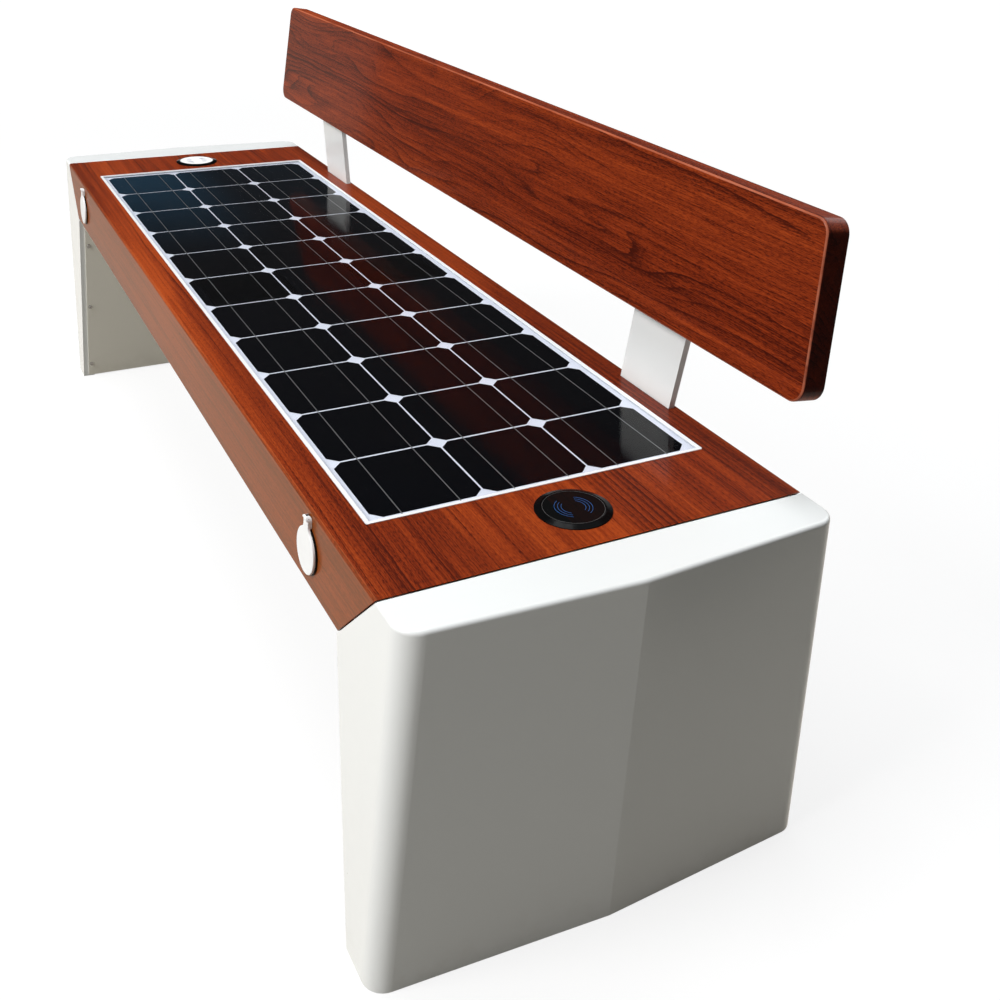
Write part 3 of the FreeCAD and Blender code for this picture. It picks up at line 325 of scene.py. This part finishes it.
def powder(name, colour, dirt, gloss, shine=0.5, chips=0.0):
    """Sprayed and baked paint: smooth, faint clouds, dust low down and rare chips."""
    s = new_material(name)
    place = s.place()
    cloud = s.noise(place, 2.4, 3.0, 0.5)
    dimmed = tuple(part * 0.965 for part in colour)
    tint = s.mixed(s.between(cloud, 0.35, 0.75, 0.0, 0.30), colour, dimmed)
    _, _, z = s.parts(place)
    low = s.between(z, 0.0, 0.07, 0.16, 0.0)
    grime = s.maths("MULTIPLY", low, s.between(s.noise(place, 22.0, 5.0, 0.65), 0.42, 0.80))
    tint = s.mixed(grime, tint, dirt)
    if chips:
        spot = s.between(s.noise(place, 95.0, 2.0, 0.5, 0.4), 0.800, 0.812)
        rare = s.between(s.noise(place, 8.0, 2.0), 0.58, 0.63)
        chipped = s.maths("MULTIPLY", s.maths("MULTIPLY", spot, rare), chips)
        tint = s.mixed(chipped, tint, (0.26, 0.21, 0.15))
    rough = s.between(s.noise(place, 38.0, 3.0, 0.5), 0.3, 0.7, gloss, gloss + 0.05)
    return s.surface(Base_Color=tint, Roughness=rough, IOR=1.46, Specular_IOR_Level=shine,
                     Normal=s.bump(s.noise(place, 130.0, 1.0, 0.3), 0.00002, 0.03))


def plastic(name, colour, scuff, rough, grain, texture=0.35, shine=0.5):
    """Moulded plastic, smooth or with a fine spark texture."""
    s = new_material(name)
    place = s.place()
    tint = s.mixed(s.between(s.noise(place, 60.0, 3.0), 0.4, 0.75, 0.0, 0.5), colour, scuff)
    patch = s.between(s.noise(place, 140.0, 4.0), 0.35, 0.7, rough, rough + 0.12)
    return s.surface(Base_Color=tint, Roughness=patch, IOR=1.48, Specular_IOR_Level=shine,
                     Normal=s.bump(s.noise(place, grain, 2.0, 0.6), 0.00004, texture))


def metal(name, colour, stain, rough, grain):
    """Bare or plated metal with fine brushing and a little stain."""
    s = new_material(name)
    place = s.place()
    brush = s.streaks(place, (grain * 0.05, grain, grain), detail=3.0, rough=0.6)
    spots = s.between(s.noise(place, 190.0, 4.0, 0.6), 0.58, 0.78, 0.0, 0.5)
    worn = s.between(brush, 0.3, 0.7, rough, rough + 0.14)
    return s.surface(Base_Color=s.mixed(spots, colour, stain), Metallic=1.0, Roughness=worn,
                     Normal=s.bump(brush, 0.00003, 0.3))


def silicon(name):
    """Mono-crystalline cells: near-black, one shade per cell, with fine grid fingers.

    The front cells at the left end are bluer: a painted reflection of the sky.
    """
    s = new_material(name)
    place = s.place()
    x, y, _ = s.parts(place)
    cell = s.vectors("SNAP", place, (CELL_PITCH, CELL_PITCH, 1.0)).outputs["Vector"]
    own = s.noise(cell, 1.0)
    phase = s.maths("SUBTRACT", s.maths("FRACT", s.maths("DIVIDE", x, FINGER_PITCH)), 0.5)
    finger = s.between(s.maths("ABSOLUTE", phase), 0.46, 0.49)
    sparkle = s.noise(place, 700.0, 2.0, 0.7)
    tint = s.mixed(s.between(sparkle, 0.3, 0.75), (0.0019, 0.0020, 0.0027), (0.0026, 0.0028, 0.0036))
    # Painted reflection: a blue sky tint on the front cells at the left end.
    blue = s.maths("MULTIPLY", s.between(x, -0.80, -0.10, 0.80, 0.0),
                   s.between(y, -0.10, 0.03, 1.0, 0.15))
    tint = s.mixed(blue, tint, (0.0090, 0.0360, 0.0660))
    tint = s.mixed(s.between(own, 0.3, 0.7, 0.0, 0.3), tint, (0.0020, 0.0028, 0.0050))
    tint = s.mixed(s.maths("MULTIPLY", finger, 0.07), tint, (0.12, 0.13, 0.15))
    return s.surface(Base_Color=tint, Roughness=0.55, Specular_IOR_Level=0.0,
                     Normal=s.bump(sparkle, 0.00002, 0.1))


def solar_glass(name):
    """Textured solar glass: seen through, with a soft reflection on its outer face only."""
    s = new_material(name)
    place = s.place()
    dimple = s.bump(s.noise(place, 60.0, 2.0, 0.5), 0.00002, 0.02)
    smear = s.between(s.noise(place, 14.0, 4.0, 0.6), 0.35, 0.75, 0.09, 0.13)
    clear = s.node("ShaderNodeBsdfTransparent", Color=(0.985, 0.992, 0.988, 1.0)).outputs[0]
    shine = s.node("ShaderNodeBsdfGlossy", Color=WHITE, Roughness=smear, Normal=dimple).outputs[0]
    angle = s.node("ShaderNodeFresnel", IOR=1.26, Normal=dimple).outputs["Fac"]
    outer = s.maths("SUBTRACT", 1.0, s.node("ShaderNodeNewGeometry").outputs["Backfacing"])
    return s.finish(s.blended(s.maths("MULTIPLY", angle, outer), clear, shine))


def gloss_black(name):
    """The chargers' polished black disc, with a few specks of dust."""
    s = new_material(name)
    place = s.place()
    dust = s.between(s.noise(place, 700.0, 3.0, 0.7), 0.66, 0.74, 0.0, 0.10)
    haze = s.between(s.noise(place, 45.0, 4.0), 0.35, 0.75, 0.015, 0.035)
    return s.surface(Base_Color=s.mixed(dust, (0.0045, 0.0048, 0.0050), (0.20, 0.20, 0.19)),
                     Roughness=haze, IOR=1.40, Specular_IOR_Level=0.12,
                     Normal=s.bump(s.noise(place, 25.0, 1.0), 0.0002, 0.04))


def print_and_glint_ink(name, colour, shade):
    """Screen print, a little uneven; the grey ring on the chargers is a painted highlight in ink."""
    s = new_material(name)
    place = s.place()
    tint = s.mixed(s.between(s.noise(place, 900.0, 3.0), 0.35, 0.7), colour, shade)
    return s.surface(Base_Color=tint, Roughness=0.35,
                     Normal=s.bump(s.noise(place, 600.0), 0.00002, 0.3))


def tinned_ribbon(name):
    """Dull tin on the copper ribbons that join the cells."""
    s = new_material(name)
    tin = s.streaks(s.place(), (80.0, 900.0, 900.0), detail=3.0, rough=0.6)
    tint = s.mixed(tin, (0.11, 0.115, 0.12), (0.22, 0.225, 0.235))
    return s.surface(Base_Color=tint, Metallic=0.6, Roughness=0.45, Normal=s.bump(tin, 0.00003, 0.4))


# On the seat, the front fold is lighter, partly rubbed and partly a painted highlight, and the fascia
# takes a painted sheen that evens out the print.
SEAT_WOOD = {
    "light": (0.395, 0.064, 0.0100), "dark": (0.210, 0.0270, 0.0052),
    "deep": (0.055, 0.0062, 0.0018), "facing": (0.0, 0.0, 1.0), "rub_and_highlight": 0.16,
    "rubbed_and_highlight_colour": (0.52, 0.170, 0.060), "side_sheen_share": 0.50,
}
# The board's tones are a little darker than the seat's: painted shade, as the board takes less light. Its
# edges are lighter, partly rubbed and partly a painted highlight, and its ends take painted shade.
BOARD_WOOD = {
    "light": (0.370, 0.058, 0.0100), "dark": (0.185, 0.0235, 0.0048),
    "deep": (0.050, 0.0056, 0.0017), "rub_and_highlight": 0.70, "rubbed_and_highlight_colour": (0.52, 0.160, 0.085),
    "end_shade": 0.24, "coat": 0.14,
    "facing": (0.0, -math.cos(math.radians(BOARD_LEAN)), math.sin(math.radians(BOARD_LEAN))),
}
wood_of = {
    "seat_pan": printed_wood("wood_seat", 3.7, 5.0, 140.0, (1.05, 8.0), **SEAT_WOOD),
    "back_pan": printed_wood("wood_board", 9.2, 13.0, 82.0, (2.1, 12.5), **BOARD_WOOD),
    "back_cover": printed_wood("wood_cover", 5.1, 11.0, 90.0, (1.8, 11.0), **BOARD_WOOD),
}
FINISHES = {
    "white_powder_coat": (powder, {"colour": (0.85, 0.865, 0.86), "dirt": (0.52, 0.48, 0.40),
                                   "gloss": 0.20, "shine": 0.32, "chips": 0.8}),
    # The inner plates' cream is partly their own tint and partly painted light: it is lighter than the
    # white coat to lift them out of the shade under the seat.
    "inner_plate_coat": (powder, {"colour": (0.93, 0.90, 0.81), "dirt": (0.42, 0.37, 0.29),
                                  "gloss": 0.32}),
    "cover_steel": (powder, {"colour": (0.55, 0.56, 0.56), "dirt": (0.30, 0.28, 0.25),
                             "gloss": 0.38}),
    "panel_rim": (powder, {"colour": (0.86, 0.87, 0.88), "dirt": (0.60, 0.58, 0.54),
                           "gloss": 0.30}),
    "panel_backsheet": (plastic, {"colour": (0.72, 0.74, 0.86), "scuff": (0.69, 0.71, 0.835),
                                  "rough": 0.45, "grain": 300.0, "texture": 0.06}),
    "black_plastic": (plastic, {"colour": (0.0030, 0.0030, 0.0033),
                                "scuff": (0.0045, 0.0045, 0.0045), "rough": 0.10,
                                "grain": 260.0, "texture": 0.04, "shine": 0.04}),
    "battery_case": (plastic, {"colour": (0.020, 0.022, 0.026), "scuff": (0.05, 0.05, 0.05),
                               "rough": 0.45, "grain": 900.0}),
    "controller_case": (plastic, {"colour": (0.06, 0.10, 0.17), "scuff": (0.09, 0.13, 0.20),
                                  "rough": 0.40, "grain": 900.0}),
    "cap_white": (plastic, {"colour": (0.88, 0.89, 0.905), "scuff": (0.85, 0.86, 0.875),
                            "rough": 0.28, "grain": 300.0, "texture": 0.08}),
    "port_tongue": (plastic, {"colour": (0.30, 0.31, 0.33), "scuff": (0.26, 0.27, 0.29),
                              "rough": 0.40, "grain": 900.0}),
    # The screws' steel is darkened well below bare steel: painted shade, for the dark reflections they
    # show under the seat.
    "screw_steel": (metal, {"colour": (0.27, 0.26, 0.25), "stain": (0.12, 0.11, 0.10),
                            "rough": 0.36, "grain": 500.0}),
    "frame_steel": (metal, {"colour": (0.50, 0.51, 0.52), "stain": (0.36, 0.33, 0.30),
                            "rough": 0.42, "grain": 300.0}),
    "coil_copper": (metal, {"colour": (0.72, 0.30, 0.14), "stain": (0.35, 0.14, 0.06),
                            "rough": 0.30, "grain": 900.0}),
    "pin_steel": (metal, {"colour": (0.60, 0.60, 0.60), "stain": (0.20, 0.18, 0.16),
                          "rough": 0.22, "grain": 800.0}),
    "contact_brass": (metal, {"colour": (0.62, 0.47, 0.22), "stain": (0.30, 0.22, 0.10),
                              "rough": 0.25, "grain": 900.0}),
    "charger_blue_print": (print_and_glint_ink, {"colour": (0.011, 0.080, 0.260),
                                       "shade": (0.016, 0.105, 0.330)}),
    # Grey for the ring round each charger disc, which is a painted highlight of its edge.
    "charger_glint_grey": (print_and_glint_ink, {"colour": (0.115, 0.120, 0.120),
                                       "shade": (0.030, 0.031, 0.033)}),
    "busbar_silver": (tinned_ribbon, {}),
    "solar_cell": (silicon, {}),
    "panel_glass": (solar_glass, {}),
    "charger_gloss": (gloss_black, {}),
}
finish_of = {name: build(name, **settings) for name, (build, settings) in FINISHES.items()}

slot_of = {row["node"]: row["material_slot"] for row in record["subparts"]}
for name, thing in nodes.items():
    material = wood_of.get(name) or finish_of[slot_of[name]]
    if not thing.material_slots:
        thing.data.materials.append(material)
    for material_slot in thing.material_slots:
        material_slot.material = material


# Pieces that the CAD leaves to Blender.
def piece(name, shape, finish, body):
    mesh = bpy.data.meshes.new(name)
    shape.to_mesh(mesh)
    shape.free()
    thing = bpy.data.objects.new(name, mesh)
    thing.data.materials.append(finish_of[finish])
    scene.collection.objects.link(thing)
    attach(thing, body)


def ring_part(shape, centre, inner, outer, bottom, height, start, end, steps):
    """A flat ring, or an arc of one, with square ends and its own thickness."""
    closed = abs(end - start) >= 2 * math.pi - 1e-6
    profile = ((inner, bottom), (outer, bottom), (outer, bottom + height), (inner, bottom + height))
    sections = []
    for k in range(steps if closed else steps + 1):
        angle = start + (end - start) * k / steps
        cosine, sine = math.cos(angle), math.sin(angle)
        sections.append([shape.verts.new((centre[0] + r * cosine, centre[1] + r * sine, z))
                         for r, z in profile])
    count = len(sections)
    for k in range(count if closed else count - 1):
        here, there = sections[k], sections[(k + 1) % count]
        for m in range(4):
            n = (m + 1) % 4
            shape.faces.new((here[m], there[m], there[n], here[n]))
    if not closed:
        shape.faces.new(sections[0])
        shape.faces.new(list(reversed(sections[-1])))


def bevelled_bar(shape, low, high, bevel):
    """A thin flat bar along X with chamfered upper edges."""
    x0, y0, z0 = low
    x1, y1, z1 = high
    profile = ((y0, z0), (y1, z0), (y1, z1 - bevel), (y1 - bevel, z1), (y0 + bevel, z1), (y0, z1 - bevel))
    left, right = [[shape.verts.new((x, y, z)) for y, z in profile] for x in (x0, x1)]
    for m in range(len(profile)):
        n = (m + 1) % len(profile)
        shape.faces.new((left[m], right[m], right[n], left[n]))
    shape.faces.new(list(reversed(left)))
    shape.faces.new(right)


cells_low, cells_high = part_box("solar_cells")
cell_width = (cells_high.y - cells_low.y) - (CELL_ROWS - 1) * CELL_PITCH
ribbons = bmesh.new()
for row in range(CELL_ROWS):
    for share in RIBBON_SHARES:
        middle = cells_low.y + row * CELL_PITCH + share * cell_width
        bevelled_bar(
            ribbons,
            (cells_low.x - RIBBON_OVERHANG, middle - RIBBON_HALF_WIDTH, cells_high.z),
            (cells_high.x + RIBBON_OVERHANG, middle + RIBBON_HALF_WIDTH, cells_high.z + RIBBON_HEIGHT),
            RIBBON_BEVEL)
piece("busbar_ribbons", ribbons, "busbar_silver", "bench")

for side in ("right", "left"):
    low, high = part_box("charger_top_" + side)
    centre = ((low.x + high.x) / 2, (low.y + high.y) / 2)
    waves = bmesh.new()
    for middle in WAVE_MIDDLES:
        for radius, degrees in WAVES:
            spread = math.radians(degrees)
            ring_part(waves, centre, radius - WAVE_HALF_WIDTH, radius + WAVE_HALF_WIDTH, high.z,
                      WAVE_HEIGHT, middle - spread, middle + spread, WAVE_STEPS)
    piece("charger_waves_" + side, waves, "charger_blue_print", "bench")
    # The grey ring is a painted highlight of the disc's edge.
    glint = bmesh.new()
    ring_part(glint, centre, GLINT_INNER, GLINT_OUTER, high.z, GLINT_HEIGHT, 0.0, 2 * math.pi, GLINT_STEPS)
    piece("charger_glint_" + side, glint, "charger_glint_grey", "bench")

for side in ("right", "left"):
    tongues = bmesh.new()
    contacts = bmesh.new()
    for opening in record["physics"]["openings"]:
        if not (opening["name"].startswith("usb_port") and opening["name"].endswith(side)):
            continue
        (x0, y0, z0), (x1, y1, _) = opening["box_m"]
        bevelled_bar(
            tongues,
            (x0 + TONGUE_SIDE_GAP, y0 + TONGUE_FRONT_GAP, z0 + TONGUE_BOTTOM),
            (x1 - TONGUE_SIDE_GAP, y1 + TONGUE_BACK_REACH, z0 + TONGUE_TOP),
            TONGUE_BEVEL)
        for k in range(1, CONTACT_COUNT + 1):
            x = x0 + (x1 - x0) * k / (CONTACT_COUNT + 1)
            bevelled_bar(
                contacts,
                (x - CONTACT_HALF_WIDTH, y0 + CONTACT_FRONT_GAP, z0 + TONGUE_TOP),
                (x + CONTACT_HALF_WIDTH, y1 - CONTACT_BACK_GAP, z0 + CONTACT_TOP),
                CONTACT_BEVEL)
    piece("usb_tongues_" + side, tongues, "port_tongue", "bench")
    piece("usb_contacts_" + side, contacts, "contact_brass", "bench")


# Floor, light and background.
def floor_material():
    """Real light lands on a mid-tone floor; whoever looks at it sees a pale one with a shadow."""
    s = new_material("floor")
    place = s.place()
    tint = s.mixed(s.noise(place, 1.5, 3.0), (0.246, 0.234, 0.208), (0.276, 0.262, 0.232))
    lit = s.node("ShaderNodeBsdfDiffuse", Color=tint).outputs[0]
    shaded = s.node("ShaderNodeBsdfDiffuse", Color=(0.22, 0.22, 0.22, 1.0)).outputs[0]
    x, y, _ = s.parts(place)
    squares = s.maths("ADD", s.maths("MULTIPLY", x, x), s.maths("MULTIPLY", y, y))
    strength = s.between(s.maths("SQRT", squares), GLOW_NEAR, GLOW_FAR, GLOW_NEAR_STRENGTH, 1.0)
    glossy = s.node("ShaderNodeLightPath").outputs["Is Glossy Ray"]
    shade = s.mixed(glossy, WHITE[:3], GLOW_TINT)
    pale = s.node("ShaderNodeEmission", Color=shade, Strength=strength).outputs[0]
    both = s.node("ShaderNodeAddShader")
    s.put(both.inputs[0], shaded)
    s.put(both.inputs[1], pale)
    return s.finish(s.blended(s.looked_at(), lit, both.outputs[0]))


def stage_sheet(name, corners, material):
    """One face of the set, which isn't part of the object."""
    mesh = bpy.data.meshes.new(name)
    mesh.from_pydata(corners, [], [(0, 1, 2, 3)])
    thing = bpy.data.objects.new(name, mesh)
    thing.data.materials.append(material)
    scene.collection.objects.link(thing)
    return thing


def studio_flag(name, start, end, low, high, material):
    """A dark flag, or a bright card, beside the set: only glossy reflections show it."""
    thing = stage_sheet(name, [(*start, low), (*end, low), (*end, high), (*start, high)], material)
    thing.visible_camera = False
    thing.visible_diffuse = False
    thing.visible_shadow = False
    return thing


stage_sheet("floor", [(-FLOOR_HALF, -FLOOR_HALF, 0), (FLOOR_HALF, -FLOOR_HALF, 0),
                      (FLOOR_HALF, FLOOR_HALF, 0), (-FLOOR_HALF, FLOOR_HALF, 0)], floor_material())
flag_cloth = new_material("flag").surface(Base_Color=(0.012, 0.010, 0.010, 1.0), Roughness=0.9)
for name, (start, end, low, high) in FLAGS.items():
    studio_flag(name, start, end, low, high, flag_cloth)

# The card shows only in the far charger's disc, where the photograph has a glare.
card_tree = new_material("card")
card_paint = card_tree.node("ShaderNodeEmission", Color=WHITE, Strength=CARD_STRENGTH).outputs[0]
card = studio_flag("card_far", *CARD, card_tree.finish(card_paint))
shown_on = bpy.data.collections.new("card_shown_on")
shown_on.objects.link(nodes["charger_top_left"])
card.light_linking.receiver_collection = shown_on

sky = Tree(bpy.data.worlds.new("world"), "ShaderNodeOutputWorld")
soft = sky.node("ShaderNodeBackground", Color=WORLD_LIGHT, Strength=WORLD_STRENGTH).outputs[0]
white = sky.node("ShaderNodeBackground", Color=WHITE, Strength=1.0).outputs[0]
scene.world = sky.finish(sky.blended(sky.looked_at(), soft, white))

for name, (where, aim, power, size, colour, shine) in LAMPS.items():
    lamp_data = bpy.data.lights.new(name, "AREA")
    lamp_data.shape = "DISK"
    lamp_data.size = size
    lamp_data.energy = power
    lamp_data.color = colour
    lamp_data.specular_factor = shine
    lamp = bpy.data.objects.new(name, lamp_data)
    lamp.location = where
    lamp.rotation_euler = (Vector(aim) - Vector(where)).to_track_quat("-Z", "Y").to_euler()
    scene.collection.objects.link(lamp)
